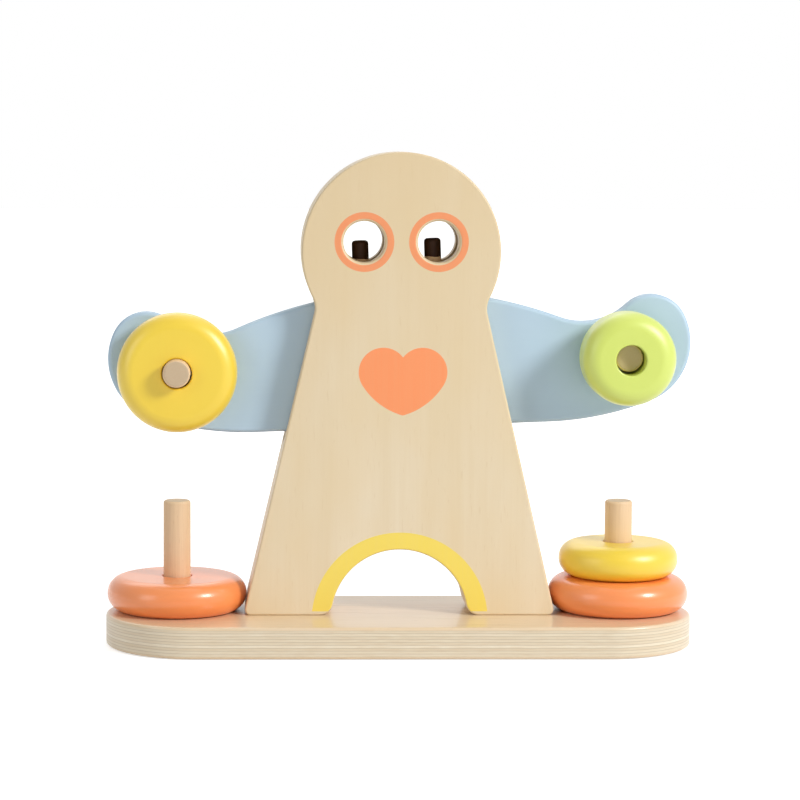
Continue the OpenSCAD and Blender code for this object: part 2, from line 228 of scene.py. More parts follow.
def buildWoodGrain(settings):
    group, given, put = newGroup(
        "woodGrain",
        [("Point", "point"), ("Figure", "value"), ("Fibre", "value")],
        [("Tone", "value"), ("Fibres", "value"), ("Pores", "value")],
    )

    def drawnOut(along, scale):
        point = calcVector(group, "MULTIPLY", given["Point"], (1, 1, settings[along]))
        point = calcVector(group, "SCALE", point)
        feed(group, point.node.inputs["Scale"], given[scale])
        return point

    slow = drawnOut("figureAlong", "Figure")
    tone = noise(group, slow, 1.0, detail=3.0, roughness=0.55, distortion=0.6)
    fine = drawnOut("fibreAlong", "Fibre")
    fibres = noise(group, fine, 1.0, detail=4.0, roughness=0.6)
    short = drawnOut("poreAlong", "Fibre")
    pores = noise(group, short, settings["poreScale"], detail=1.0, roughness=0.4)
    group.links.new(spread(group, tone, *settings["contrast"]), put["Tone"])
    group.links.new(spread(group, fibres, *settings["contrast"]), put["Fibres"])
    group.links.new(spread(group, pores, *settings["poreLimits"], smooth=True), put["Pores"])
    return group


# paint: slow unevenness of the film and the fine ripple that a sprayed coat dries with

filmSettings = {"cloudScale": 38.0, "cloudContrast": (0.3, 0.7), "rippleScale": 420.0}


def buildPaintFilm(settings):
    group, given, put = newGroup(
        "paintFilm", [("Point", "point")], [("Cloud", "value"), ("Ripple", "value")]
    )
    cloud = noise(group, given["Point"], settings["cloudScale"], detail=3.0)
    ripple = noise(group, given["Point"], settings["rippleScale"])
    group.links.new(spread(group, cloud, *settings["cloudContrast"]), put["Cloud"])
    group.links.new(ripple, put["Ripple"])
    return group


# a ring between two radii round a centre in the XZ plane

def buildRoundBand():
    group, given, put = newGroup(
        "roundBand",
        [("Point", "point"), ("Centre", "point"), ("Inner", "value"), ("Outer", "value")],
        [("Mask", "value")],
    )
    away = calcVector(group, "SUBTRACT", given["Point"], given["Centre"])
    away = calcVector(group, "MULTIPLY", away, (1, 0, 1))
    radius = calcVector(group, "LENGTH", away)
    outside = calc(group, "GREATER_THAN", radius, given["Inner"])
    inside = calc(group, "LESS_THAN", radius, given["Outer"])
    group.links.new(calc(group, "MULTIPLY", outside, inside), put["Mask"])
    return group


# plywood on edge: layers of unequal tone through the point's Z, with thin joints between them

layerSettings = {
    "sway": 0.45 * mm,  # how far a layer wanders up and down
    "swayScale": 24.0,
    "swayThrough": 0.2,  # scale through the layers, in shares of that along them
    "crossTone": 0.4,  # of every second layer
    "chanceTone": 0.5,
    "joint": (0.03, 0.12),  # in veneers, from its middle to where it fades and ends
    "streakScale": 130.0,
    "streakThrough": 16,
    "streakLimits": (0.35, 0.7),
}


def buildPlyLayers(settings):
    group, given, put = newGroup(
        "plyLayers",
        [("Point", "point"), ("Veneer", "value")],
        [("Tone", "value"), ("Joint", "value"), ("Streaks", "value")],
    )
    _, _, depth = splitPoint(group, given["Point"])
    slow = calcVector(group, "MULTIPLY", given["Point"], (1, 1, settings["swayThrough"]))
    slow = noise(group, slow, settings["swayScale"], detail=3.0)
    sway = calc(group, "MULTIPLY", calc(group, "SUBTRACT", slow, 0.5), settings["sway"])
    layer = calc(group, "DIVIDE", calc(group, "ADD", depth, sway), given["Veneer"])
    number = calc(group, "FLOOR", layer)
    chance = group.nodes.new("ShaderNodeTexWhiteNoise")
    chance.noise_dimensions = "1D"
    feed(group, chance.inputs["W"], number)
    uneven = calc(group, "MULTIPLY", chance.outputs["Value"], settings["chanceTone"])
    crosswise = calc(group, "FLOORED_MODULO", number, 2.0)
    tone = calc(group, "MULTIPLY_ADD", crosswise, settings["crossTone"], uneven)
    along = calc(group, "FRACT", layer)
    toJoint = calc(group, "MINIMUM", along, calc(group, "SUBTRACT", 1.0, along))
    thin = calcVector(group, "MULTIPLY", given["Point"], (1, 1, settings["streakThrough"]))
    streaks = noise(group, thin, settings["streakScale"], detail=4.0, roughness=0.65)
    group.links.new(tone, put["Tone"])
    group.links.new(spread(group, toJoint, *settings["joint"], 1, 0, smooth=True), put["Joint"])
    group.links.new(spread(group, streaks, *settings["streakLimits"]), put["Streaks"])
    return group


woodGrain = buildWoodGrain(grainSettings)
paintFilm = buildPaintFilm(filmSettings)
roundBand = buildRoundBand()
plyLayers = buildPlyLayers(layerSettings)
print("shared finishes built")


# light plywood of the figure and the lacquered board

lightWood = {
    "pale": srgb(243, 229, 203),
    "streak": srgb(231, 210, 171),
    "fibre": srgb(210, 180, 132),
    "shares": (0.6, 0.07, 0.2),  # of streaks, fibres and pores
    "blush": srgb(236, 214, 174),
    "blushShare": 0.6,
    "blotchScale": 34.0,
    "blotchUp": 0.5,  # scale upwards, in shares of that across
    "blotchLimits": (0.38, 0.68),
    # the darker wood tone of the painted shade towards the head
    "deep": srgb(222, 197, 152),
    "paintedShadeSpan": (15 * mm, 230 * mm),  # painted shade: the wood darkens from the feet up to the head, in place of the light that the floor throws onto the feet
    "paintedShadeMost": 0.7,
    "roughness": (0.42, 0.52),
    "figure": 60.0,
    "fibreScale": 900.0,
    "veneers": 9,
    "longVeneer": srgb(240, 226, 198),
    "crossVeneer": srgb(226, 207, 174),
    "glueLine": srgb(196, 172, 136),
    "layerShares": (0.4, 0.5),  # of streaks and joints
    "relief": 0.12,
}
boardWood = {
    "pale": srgb(241, 219, 188),
    "streak": srgb(234, 207, 168),
    "fibre": srgb(214, 184, 144),
    "shares": (0.7, 0.2, 0.2),
    "roughness": (0.26, 0.36),
    "figure": 60.0,
    "fibreScale": 800.0,
    "veneers": 11,
    "longVeneer": srgb(247, 236, 214),
    "crossVeneer": srgb(227, 211, 182),
    "glueLine": srgb(180, 158, 126),
    "layerShares": (0.4, 0.65),
    "relief": 0.15,
}
boardLacquer = {
    "coat": 0.3,
    "coatRoughness": 0.12,
    "edgeRoughness": 0.5,
    "fibresLeft": 0.5,  # share of their relief that the lacquer leaves
}


def woodColour(tree, settings, point):
    grain = useGroup(tree, woodGrain, Point=point, Figure=settings["figure"], Fibre=settings["fibreScale"])
    streaks, fibres, pores = settings["shares"]
    colour = tint(tree, settings["pale"], settings["streak"], grain["Tone"], streaks)
    colour = tint(tree, colour, settings["fibre"], grain["Fibres"], fibres)
    colour = tint(tree, colour, settings["fibre"], grain["Pores"], pores)
    if "blush" in settings:
        tall = calcVector(tree, "MULTIPLY", point, (1, 1, settings["blotchUp"]))
        blotches = noise(tree, tall, settings["blotchScale"])
        blotches = spread(tree, blotches, *settings["blotchLimits"], 0, settings["blushShare"])
        colour = blendColours(tree, blotches, colour, settings["blush"])
        # painted shade: darker wood higher up the figure, standing in for the light that the floor throws onto the
        # feet
        _, _, height = splitPoint(tree, point)
        paintedShadeUp = spread(tree, height, *settings["paintedShadeSpan"], 0, settings["paintedShadeMost"])
        colour = blendColours(tree, paintedShadeUp, colour, settings["deep"])
    return colour, grain


def plyColour(tree, settings, point, through, thickness):
    # the outer veneers show the face's grain, everything between them shows layers
    face, grain = woodColour(tree, settings, point)
    veneer = thickness / settings["veneers"]
    layers = useGroup(tree, plyLayers, Point=through, Veneer=veneer)
    streaks, joints = settings["layerShares"]
    edge = blendColours(tree, layers["Tone"], settings["longVeneer"], settings["crossVeneer"])
    edge = tint(tree, edge, settings["fibre"], layers["Streaks"], streaks)
    edge = tint(tree, edge, settings["glueLine"], layers["Joint"], joints)
    _, _, depth = splitPoint(tree, through)
    fromMiddle = calc(tree, "ABSOLUTE", calc(tree, "SUBTRACT", depth, thickness / 2))
    skin = calc(tree, "GREATER_THAN", fromMiddle, thickness / 2 - veneer)
    return blendColours(tree, skin, edge, face), grain, skin, layers["Joint"]


def makeFigureWood(name, settings, front, back):
    material, tree, shader = newMaterial(name)
    through = placeOnPiece(tree, turn=(90, 0, 0), shift=(0, 0, -front))
    colour, grain, _, joints = plyColour(tree, settings, placeOnPiece(tree), through, back - front)
    tree.links.new(colour, shader.inputs["Base Color"])
    roughen(tree, shader, grain["Fibres"], settings["roughness"])
    raiseSurface(tree, shader, calc(tree, "SUBTRACT", grain["Fibres"], joints), settings["relief"])
    return material


def makeBoardWood(name, settings, lacquer, thickness):
    material, tree, shader = newMaterial(name)
    lengthwise = placeOnPiece(tree, turn=(0, 90, 0))
    colour, grain, skin, joints = plyColour(tree, settings, lengthwise, placeOnPiece(tree), thickness)
    tree.links.new(colour, shader.inputs["Base Color"])
    face = spread(tree, grain["Fibres"], 0, 1, *settings["roughness"])
    roughen(tree, shader, skin, (lacquer["edgeRoughness"], face))
    shader.inputs["Coat Weight"].default_value = lacquer["coat"]
    shader.inputs["Coat Roughness"].default_value = lacquer["coatRoughness"]
    fibres = calc(tree, "MULTIPLY", grain["Fibres"], lacquer["fibresLeft"])
    raiseSurface(tree, shader, calc(tree, "SUBTRACT", fibres, joints), settings["relief"])
    return material


# the front: the same wood with painted eye rings, heart and arch band

paintedFront = {
    "coral": srgb(255, 154, 98),
    "salmon": srgb(245, 153, 102),
    "sun": srgb(252, 226, 98),
    "eyeRing": (10.9 * mm, 14.05 * mm),
    "archBand": (30.0 * mm, 41.9 * mm),
    "archBandMiddle": (0.1 * mm, -2.15 * mm),  # across, and above the board
    "archBandFoot": 1.9 * mm,  # bare wood between the band and the board
    "heartTop": 127.5 * mm,  # above the board
    "heartAside": 1.0 * mm,
    "lobeRadius": 11.65 * mm,
    "lobeAside": 9.3 * mm,
    "lobeDown": 11.4 * mm,
    "sideRadius": 33.0 * mm,
    "tipDown": 31.9 * mm,
    "paintDepth": 0.2 * mm,  # how far round the edge the paint reaches
    "fibresShow": 0.06,
    "roughness": 0.42,
    "reliefShares": (0.5, 0.5, 0.2),  # of the paint's thickness, the fibres and the ripple
    "relief": 0.15,
}


def heartMask(tree, point, settings, boardTop):
    across, _, up = splitPoint(tree, point)
    across = calc(tree, "ABSOLUTE", calc(tree, "SUBTRACT", across, settings["heartAside"]))
    down = calc(tree, "SUBTRACT", boardTop + settings["heartTop"], up)

    def inCircle(middle, radius):
        x = calc(tree, "SUBTRACT", across, middle.x)
        z = calc(tree, "SUBTRACT", down, middle.y)
        squared = calc(tree, "ADD", calc(tree, "MULTIPLY", x, x), calc(tree, "MULTIPLY", z, z))
        return calc(tree, "LESS_THAN", squared, radius * radius)

    # the side's arc leaves the lobe without a corner and ends at the tip
    lobe = Vector((settings["lobeAside"], settings["lobeDown"]))
    tip = Vector((0, settings["tipDown"]))
    radius = settings["sideRadius"]
    side = upperMeeting(lobe, radius - settings["lobeRadius"], tip, radius)
    leaves = side + radius * (lobe - side).normalized()
    below = calc(tree, "GREATER_THAN", down, leaves.y)
    lower = calc(tree, "MULTIPLY", inCircle(side, radius), below)
    return calc(tree, "MAXIMUM", inCircle(lobe, settings["lobeRadius"]), lower)


def bandMask(tree, point, middle, radii):
    inner, outer = radii
    return useGroup(tree, roundBand, Point=point, Centre=middle, Inner=inner, Outer=outer)["Mask"]


def makePaintedFront(name, wood, settings, eyes, boardTop, front, back):
    material, tree, shader = newMaterial(name)
    point = placeOnPiece(tree)
    through = placeOnPiece(tree, turn=(90, 0, 0), shift=(0, 0, -front))
    colour, grain, _, joints = plyColour(tree, wood, point, through, back - front)
    _, depth, height = splitPoint(tree, point)
    onFront = calc(tree, "LESS_THAN", depth, front + settings["paintDepth"])
    heart = heartMask(tree, point, settings, boardTop)
    rings = calc(tree, "MAXIMUM", *[bandMask(tree, point, eye, settings["eyeRing"]) for eye in eyes])
    aside, above = settings["archBandMiddle"]
    band = bandMask(tree, point, (aside, 0, boardTop + above), settings["archBand"])
    aboveFoot = calc(tree, "GREATER_THAN", height, boardTop + settings["archBandFoot"])
    band = calc(tree, "MULTIPLY", band, aboveFoot)
    film = useGroup(tree, paintFilm, Point=point)
    bareFibres = calc(tree, "MULTIPLY", grain["Fibres"], settings["fibresShow"])
    coverage = calc(tree, "SUBTRACT", 1.0, bareFibres)
    painted = 0.0
    for mask, paint in ((heart, "coral"), (rings, "salmon"), (band, "sun")):
        mask = calc(tree, "MULTIPLY", mask, onFront)
        colour = tint(tree, colour, settings[paint], mask, coverage)
        painted = calc(tree, "MAXIMUM", painted, mask)
    tree.links.new(colour, shader.inputs["Base Color"])
    bare = spread(tree, grain["Fibres"], 0, 1, *wood["roughness"])
    roughen(tree, shader, painted, (bare, settings["roughness"]))
    # the paint lies a hair's breadth proud of the wood
    proud, fibres, ripple = settings["reliefShares"]
    relief = calc(tree, "MULTIPLY", grain["Fibres"], fibres)
    relief = calc(tree, "MULTIPLY_ADD", painted, proud, relief)
    relief = calc(tree, "MULTIPLY_ADD", film["Ripple"], ripple, relief)
    raiseSurface(tree, shader, calc(tree, "SUBTRACT", relief, joints), settings["relief"])
    return material


# turned dowels: straight beech with short dark rays, darker on the cut ends

beechDowel = {
    "pale": srgb(243, 213, 175),
    "streak": srgb(233, 199, 156),
    "fibre": srgb(204, 162, 120),
    "shares": (0.7, 0.25, 0.3),
    "cutEnd": srgb(207, 184, 152),
    "endFacing": (0.8, 0.95),  # share of a normal along the dowel, where the end begins and is full
    "speckleScale": 1100.0,
    "speckleLimits": (0.4, 0.7),
    "speckleShare": 0.22,
    "roughness": (0.5, 0.62),
    "figure": 160.0,
    "fibreScale": 1500.0,
    "poreDepth": -0.6,
    "relief": 0.2,
}


def makeDowelWood(name, settings, turn=(0, 0, 0)):
    material, tree, shader = newMaterial(name)
    point = placeOnPiece(tree, turn)
    colour, grain = woodColour(tree, settings, point)
    facing = tree.nodes.new("ShaderNodeTexCoord")
    rotated = tree.nodes.new("ShaderNodeMapping")
    rotated.vector_type = "NORMAL"
    rotated.inputs["Rotation"].default_value = [math.radians(angle) for angle in turn]
    tree.links.new(facing.outputs["Normal"], rotated.inputs["Vector"])
    _, _, along = splitPoint(tree, rotated.outputs["Vector"])
    end = spread(tree, calc(tree, "ABSOLUTE", along), *settings["endFacing"])
    across = calcVector(tree, "MULTIPLY", point, (1, 1, 0))
    speckle = noise(tree, across, settings["speckleScale"], detail=3.0, roughness=0.6)
    speckle = spread(tree, speckle, *settings["speckleLimits"], 0, settings["speckleShare"])
    cut = blendColours(tree, speckle, settings["cutEnd"], settings["fibre"])
    tree.links.new(blendColours(tree, end, colour, cut), shader.inputs["Base Color"])
    roughen(tree, shader, grain["Fibres"], settings["roughness"])
    height = calc(tree, "MULTIPLY_ADD", grain["Pores"], settings["poreDepth"], grain["Fibres"])
    raiseSurface(tree, shader, height, settings["relief"])
    return material


# paints

paintColours = {
    "skyBlue": {
        "colour": srgb(188, 212, 230), "deep": srgb(179, 204, 224),
        "roughness": 0.46, "coat": 0.0, "coatRoughness": 0.2,
    },
    "sunYellow": {
        "colour": srgb(248, 215, 54), "deep": srgb(243, 204, 42),
        "roughness": 0.38, "coat": 1.0, "coatRoughness": 0.4,
    },
    "lime": {
        "colour": srgb(213, 227, 106), "deep": srgb(204, 220, 92),
        "roughness": 0.38, "coat": 1.0, "coatRoughness": 0.44,
    },
    "orange": {
        "colour": srgb(254, 152, 84), "deep": srgb(249, 138, 70),
        "roughness": 0.38, "coat": 0.75, "coatRoughness": 0.2,
    },
}
sprayedCoat = {
    "figure": 90.0,
    "fibreScale": 700.0,
    "deepShares": (0.45, 0.12),  # of clouds and fibres
    "roughnessSpread": (-0.03, 0.05),
    "fibreRelief": 0.35,
    "relief": 0.12,
}


def makePaint(name, settings, coat, turn=(0, 0, 0)):
    material, tree, shader = newMaterial(name)
    film = useGroup(tree, paintFilm, Point=placeOnPiece(tree))
    lengthwise = placeOnPiece(tree, turn)
    grain = useGroup(tree, woodGrain, Point=lengthwise, Figure=coat["figure"], Fibre=coat["fibreScale"])
    clouds, fibres = coat["deepShares"]
    colour = tint(tree, settings["colour"], settings["deep"], film["Cloud"], clouds)
    colour = tint(tree, colour, settings["deep"], grain["Fibres"], fibres)
    tree.links.new(colour, shader.inputs["Base Color"])
    roughness = [settings["roughness"] + change for change in coat["roughnessSpread"]]
    roughen(tree, shader, film["Cloud"], roughness)
    shader.inputs["Coat Weight"].default_value = settings["coat"]
    shader.inputs["Coat Roughness"].default_value = settings["coatRoughness"]
    height = calc(tree, "MULTIPLY", grain["Fibres"], coat["fibreRelief"])
    raiseSurface(tree, shader, calc(tree, "ADD", film["Ripple"], height), coat["relief"])
    return material


# pupils: dark paint on the upper end of a bare pin

pupilPaint = {
    "paint": srgb(46, 25, 10),
    "worn": srgb(66, 38, 20),
    "wornShare": 0.5,
    "paintedLength": 8.9 * mm,
    "raggedness": 1.0 * mm,  # of the paint's lower edge
    "roughness": (0.6, 0.55),  # bare and painted
    "specular": 0.2,
    "relief": 0.2,
}


def makePupilPaint(name, settings, wood, top):
    material, tree, shader = newMaterial(name)
    point = placeOnPiece(tree)
    bare, grain = woodColour(tree, wood, point)
    film = useGroup(tree, paintFilm, Point=point)
    dark = tint(tree, settings["paint"], settings["worn"], grain["Fibres"], settings["wornShare"])
    _, _, height = splitPoint(tree, point)
    ragged = calc(tree, "MULTIPLY", calc(tree, "SUBTRACT", film["Ripple"], 0.5), settings["raggedness"])
    height = calc(tree, "ADD", height, ragged)
    painted = calc(tree, "GREATER_THAN", height, top - settings["paintedLength"])
    tree.links.new(blendColours(tree, painted, bare, dark), shader.inputs["Base Color"])
    shader.inputs["Specular IOR Level"].default_value = settings["specular"]
    roughen(tree, shader, painted, settings["roughness"])
    raiseSurface(tree, shader, calc(tree, "ADD", grain["Fibres"], film["Ripple"]), settings["relief"])
    return material


# hidden hardware

nylonSettings = {
    "pale": srgb(236, 233, 222),
    "deep": srgb(224, 220, 206),
    "roughness": (0.45, 0.6),
    "relief": (0.1, 0.05 * mm),  # strength and height
}
zincSettings = {
    "pale": srgb(206, 206, 204),
    "deep": srgb(186, 188, 190),
    "turningScale": 700.0,
    "turningAlong": 9,  # scale along the screw, in shares of that across it
    "turningLimits": (0.3, 0.7),
    "roughness": (0.24, 0.4),
    "relief": (0.1, 0.05 * mm),
}


def makeNylon(name, settings):
    material, tree, shader = newMaterial(name)
    film = useGroup(tree, paintFilm, Point=placeOnPiece(tree))
    colour = blendColours(tree, film["Cloud"], settings["pale"], settings["deep"])
    tree.links.new(colour, shader.inputs["Base Color"])
    roughen(tree, shader, film["Cloud"], settings["roughness"])
    raiseSurface(tree, shader, film["Ripple"], *settings["relief"])
    return material


def makeZinc(name, settings):
    material, tree, shader = newMaterial(name)
    point = placeOnPiece(tree)
    film = useGroup(tree, paintFilm, Point=point)
    turning = calcVector(tree, "MULTIPLY", point, (1, 1, settings["turningAlong"]))
    turning = noise(tree, turning, settings["turningScale"])
    colour = blendColours(tree, film["Cloud"], settings["pale"], settings["deep"])
    tree.links.new(colour, shader.inputs["Base Color"])
    shader.inputs["Metallic"].default_value = 1.0
    roughness = spread(tree, turning, *settings["turningLimits"], *settings["roughness"])
    feed(tree, shader.inputs["Roughness"], roughness)
    raiseSurface(tree, shader, turning, *settings["relief"])
    return material


# hand work shared by the pieces

def middleOf(node):
    low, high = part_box(node)
    return (low + high) / 2


def startEditing():
    bpy.ops.object.mode_set(mode="EDIT")


def stopEditing():
    bpy.ops.object.mode_set(mode="OBJECT")


def takeAll():
    bpy.ops.mesh.select_all(action="SELECT")


def clearSelection():
    if bpy.context.object and bpy.context.object.mode != "OBJECT":
        stopEditing()
    bpy.ops.object.select_all(action="DESELECT")


def pick(piece, kind, test):
    bpy.ops.mesh.select_mode(type={"verts": "VERT", "edges": "EDGE", "faces": "FACE"}[kind])
    bpy.ops.mesh.select_all(action="DESELECT")
    shape = bmesh.from_edit_mesh(piece.data)
    for part in getattr(shape, kind):
        if test(part):
            part.select_set(True)
    shape.select_flush_mode()
    bmesh.update_edit_mesh(piece.data)


def endsAt(edge, axis, place):
    return all(abs(vert.co[axis] - place) < near for vert in edge.verts)


def activate(piece):
    clearSelection()
    piece.select_set(True)
    bpy.context.view_layer.objects.active = piece


def roundEdges(offset, steps):
    bpy.ops.mesh.bevel(offset=offset, segments=steps, profile=0.5, affect="EDGES")


def pull(x, y, z):
    bpy.ops.mesh.extrude_region_move(TRANSFORM_OT_translate={"value": (x, y, z)})


def faceOutwards():
    takeAll()
    bpy.ops.mesh.normals_make_consistent(inside=False)


def cutAway(piece, cutter):
    cut = piece.modifiers.new("cut", "BOOLEAN")
    cut.operation = "DIFFERENCE"
    cut.solver = "EXACT"
    cut.object = cutter
    activate(piece)
    bpy.ops.object.modifier_apply(modifier=cut.name)
    bpy.data.objects.remove(cutter, do_unlink=True)


def boreAcross(piece, radius, x, z, front, back, sides=96):
    clearSelection()
    bpy.ops.mesh.primitive_cylinder_add(
        vertices=sides, radius=radius, depth=back - front,
        location=(x, (front + back) / 2, z), rotation=(math.pi / 2, 0, 0),
    )
    cutAway(piece, bpy.context.object)


def boreUp(piece, radius, x, y, bottom, top, sides=64):
    clearSelection()
    bpy.ops.mesh.primitive_cylinder_add(
        vertices=sides, radius=radius, depth=top - bottom, location=(x, y, (bottom + top) / 2)
    )
    cutAway(piece, bpy.context.object)


def repeatPiece(piece, names):
    copies = []
    for name in names[1:]:
        activate(piece)
        bpy.ops.object.duplicate(linked=False)
        bpy.context.object.name = name
        copies.append(bpy.context.object)
    return [piece] + copies


def finishPiece(piece, node, material):
    activate(piece)
    bpy.ops.object.transform_apply(location=True, rotation=True, scale=True)
    bpy.ops.object.shade_smooth_by_angle(angle=math.radians(smoothBelow))
    weighted = piece.modifiers.new("evenNormals", "WEIGHTED_NORMAL")
    weighted.keep_sharp = True
    bpy.ops.object.modifier_apply(modifier=weighted.name)
    piece.data.materials.clear()
    piece.data.materials.append(material)
    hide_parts(node)
    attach(piece, bodyOf[node])


def layPiece(piece, node, material, turn):
    piece.location = middleOf(node)
    piece.rotation_euler = turn
    finishPiece(piece, node, material)


def startOutline(name, x, z):
    # a plane merged into the one point that the outline is drawn on from
    clearSelection()
    bpy.ops.mesh.primitive_plane_add(size=10 * mm)
    piece = bpy.context.object
    piece.name = name
    startEditing()
    bpy.ops.mesh.select_mode(type="VERT")
    takeAll()
    bpy.ops.mesh.merge(type="CENTER")
    bpy.ops.transform.translate(value=(x, 0, z))
    return piece


def drawArc(centre, degrees, steps):
    bpy.ops.mesh.spin(
        steps=steps, angle=math.radians(degrees), center=(centre.x, 0, centre.y), axis=(0, 1, 0)
    )


def drawLine(start, end):
    step = end - start
    pull(step.x, 0, step.y)


def thicken(front, back, up):
    # doubles the half outline to the left, fills it and gives it its thickness
    takeAll()
    bpy.ops.mesh.duplicate()
    bpy.ops.transform.resize(value=(-1, 1, 1), center_override=(0, 0, 0))
    takeAll()
    bpy.ops.mesh.remove_doubles(threshold=near)
    bpy.ops.mesh.edge_face_add()
    bpy.ops.transform.translate(value=(0, front, up))
    pull(0, back - front, 0)
    faceOutwards()


def direction(vector):
    return math.degrees(math.atan2(vector.y, vector.x))


def turned(degrees):
    return Vector((math.cos(math.radians(degrees)), math.sin(math.radians(degrees))))


def upperMeeting(first, firstReach, second, secondReach):
    # where two circles meet, on the left of the line from the first middle to the second
    apart = (second - first).length
    along = (firstReach ** 2 - secondReach ** 2 + apart ** 2) / (2 * apart)
    aside = math.sqrt(firstReach ** 2 - along ** 2)
    ahead = (second - first) / apart
    return first + along * ahead + aside * Vector((-ahead.y, ahead.x))


# screws and the holes for them, shared by board and feet

screwSettings = {
    "aside": (44.2 * mm, 62.2 * mm),
    "shank": 2.04 * mm,
    "head": 4.04 * mm,
    "recess": 0.5 * mm,
    "cone": 2.0 * mm,
    "top": 35.6 * mm,
}


def screwPlaces(settings):
    return [side * aside for side in (-1, 1) for aside in settings["aside"]]


def sinkScrew(piece, settings, x, y, sides=64):
    # one cutter for the recess, the countersink and the hole above it
    clearSelection()
    bpy.ops.mesh.primitive_cone_add(
        vertices=sides, radius1=settings["head"], radius2=settings["shank"], depth=settings["cone"],
        location=(x, y, settings["recess"] + settings["cone"] / 2),
    )
    cutter = bpy.context.object
    startEditing()
    for way, reach in ((-1, settings["recess"] + beyond), (1, settings["top"])):
        pick(cutter, "faces", lambda face: face.normal.z * way > squareOn)
        pull(0, 0, way * reach)
    stopEditing()
    cutAway(piece, cutter)


# board

boardSettings = {
    "edge": 1.5 * mm,
    "endSteps": 64,
    "edgeSteps": 4,
    "pegHole": 6.54 * mm,
    "pegHoleDepth": 10 * mm,
}


def makeBoard(settings, screws):
    low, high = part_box("base_board")
    radius = (high.y - low.y) / 2
    straight = high.x - radius
    thickness = high.z - low.z
    clearSelection()
    sides = 2 * settings["endSteps"]
    bpy.ops.mesh.primitive_circle_add(vertices=sides, radius=radius, fill_type="NGON")
    piece = bpy.context.object
    piece.name = "boardWithRoundEnds"
    startEditing()
    takeAll()
    bpy.ops.transform.rotate(value=math.pi / sides, orient_axis="Z", center_override=(0, 0, 0))
    for side in (-1, 1):
        pick(piece, "verts", lambda vert: vert.co.x * side > 0)
        bpy.ops.transform.translate(value=(side * straight, 0, 0))
    bpy.ops.mesh.select_mode(type="FACE")
    takeAll()
    pull(0, 0, thickness)
    faceOutwards()
    pick(piece, "edges", lambda edge: endsAt(edge, 2, 0) or endsAt(edge, 2, thickness))
    roundEdges(settings["edge"], settings["edgeSteps"])
    stopEditing()
    floor = thickness - settings["pegHoleDepth"]
    for node in ("left_base_peg", "right_base_peg"):
        peg = middleOf(node)
        boreUp(piece, settings["pegHole"], peg.x, peg.y, floor, thickness + beyond)
    row = middleOf("base_screws").y
    for x in screwPlaces(screws):
        sinkScrew(piece, screws, x, row)
    return piece


# figure: its outline is drawn from the arch up to the top of the head, in plain millimetres above the board

figureSettings = {
    "headRadius": 47,
    "headHeight": 172.8,
    "neckAngle": 32,
    "neckRadius": 11.5,
    "footHalf": 74.2,
    "footOuterRadius": 2.6,
    "footInnerRadius": 6.4,
    "archRadius": 32.2,
    "archDrop": 0.8,  # the arch's middle lies below the board's top
    "eyeHeight": 177.6,
    "eyeAside": 17.55,
    "eyeRadius": 9.8 * mm,
    "eyeEdge": 1.8 * mm,
    "eyeSteps": 5,
    "edge": 1.0 * mm,
    "edgeSteps": 4,
    "hollowRadius": 34.0 * mm,
    "axleHole": 4.04 * mm,
    "axleDepth": 7 * mm,
    "axleSides": 48,
    "arcSteps": {"arch": 36, "foot": 8, "neck": 10, "head": 48},
    "tiltLimit": 7,  # degrees
}


def drawFigure(name, settings, front, back, boardTop):
    arch = settings["archRadius"]
    head = Vector((0, settings["headHeight"]))
    neck = head + settings["headRadius"] * turned(-settings["neckAngle"])
    foot = Vector((settings["footHalf"], 0))
    side = (foot - neck).normalized()
    out = Vector((-side.y, side.x))
    sideTurn = direction(out)
    # the corner at the neck touches the head and the side
    reach = settings["neckRadius"]
    fromHead = neck + reach * out - head
    along = fromHead.dot(side)
    slide = math.sqrt(along ** 2 - fromHead.length_squared + (settings["headRadius"] + reach) ** 2) - along
    neckCorner = neck + reach * out + slide * side
    neckTurn = direction(neckCorner - head)
    outer = settings["footOuterRadius"]
    outerCorner = Vector((foot.x - outer * (1 + out.y) / out.x, outer))
    inner = settings["footInnerRadius"]
    drop = settings["archDrop"]
    archMiddle = Vector((0, -drop))
    innerCorner = Vector((math.sqrt((arch + inner) ** 2 - (drop + inner) ** 2), inner))
    innerTurn = direction(innerCorner - archMiddle)

    steps = settings["arcSteps"]
    piece = startOutline(name, 0, (arch - drop) * mm)
    drawArc(archMiddle * mm, innerTurn - 90, steps["arch"])
    drawArc(innerCorner * mm, 90 - innerTurn, steps["foot"])
    drawLine(Vector((innerCorner.x, 0)) * mm, Vector((outerCorner.x, 0)) * mm)
    drawArc(outerCorner * mm, 90 + sideTurn, steps["foot"])
    drawLine((outerCorner + outer * out) * mm, (neckCorner - reach * out) * mm)
    drawArc(neckCorner * mm, neckTurn - sideTurn, steps["neck"])
    drawArc(head * mm, 90 - neckTurn, steps["head"])
    thicken(front, back, boardTop)
    return piece


def makePanel(name, settings, boardTop, eyes):
    low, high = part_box("front_panel")
    piece = drawFigure(name, settings, low.y, high.y, boardTop)
    pick(piece, "edges", lambda edge: endsAt(edge, 1, low.y))
    roundEdges(settings["edge"], settings["edgeSteps"])
    stopEditing()
    for eye in eyes:
        boreAcross(piece, settings["eyeRadius"], eye.x, eye.z, low.y - beyond, high.y + beyond)
    floor = high.y - settings["axleDepth"]
    boreAcross(piece, settings["axleHole"], 0, pivot.z, floor, high.y + beyond, settings["axleSides"])
    activate(piece)
    startEditing()

    def onEyeRim(edge):
        middle = sum((vert.co for vert in edge.verts), Vector()) / 2
        rounds = [Vector((middle.x - eye.x, middle.z - eye.z)).length for eye in eyes]
        return endsAt(edge, 1, low.y) and min(rounds) < settings["eyeRadius"] + near

    pick(piece, "edges", onEyeRim)
    roundEdges(settings["eyeEdge"], settings["eyeSteps"])
    stopEditing()
    return piece


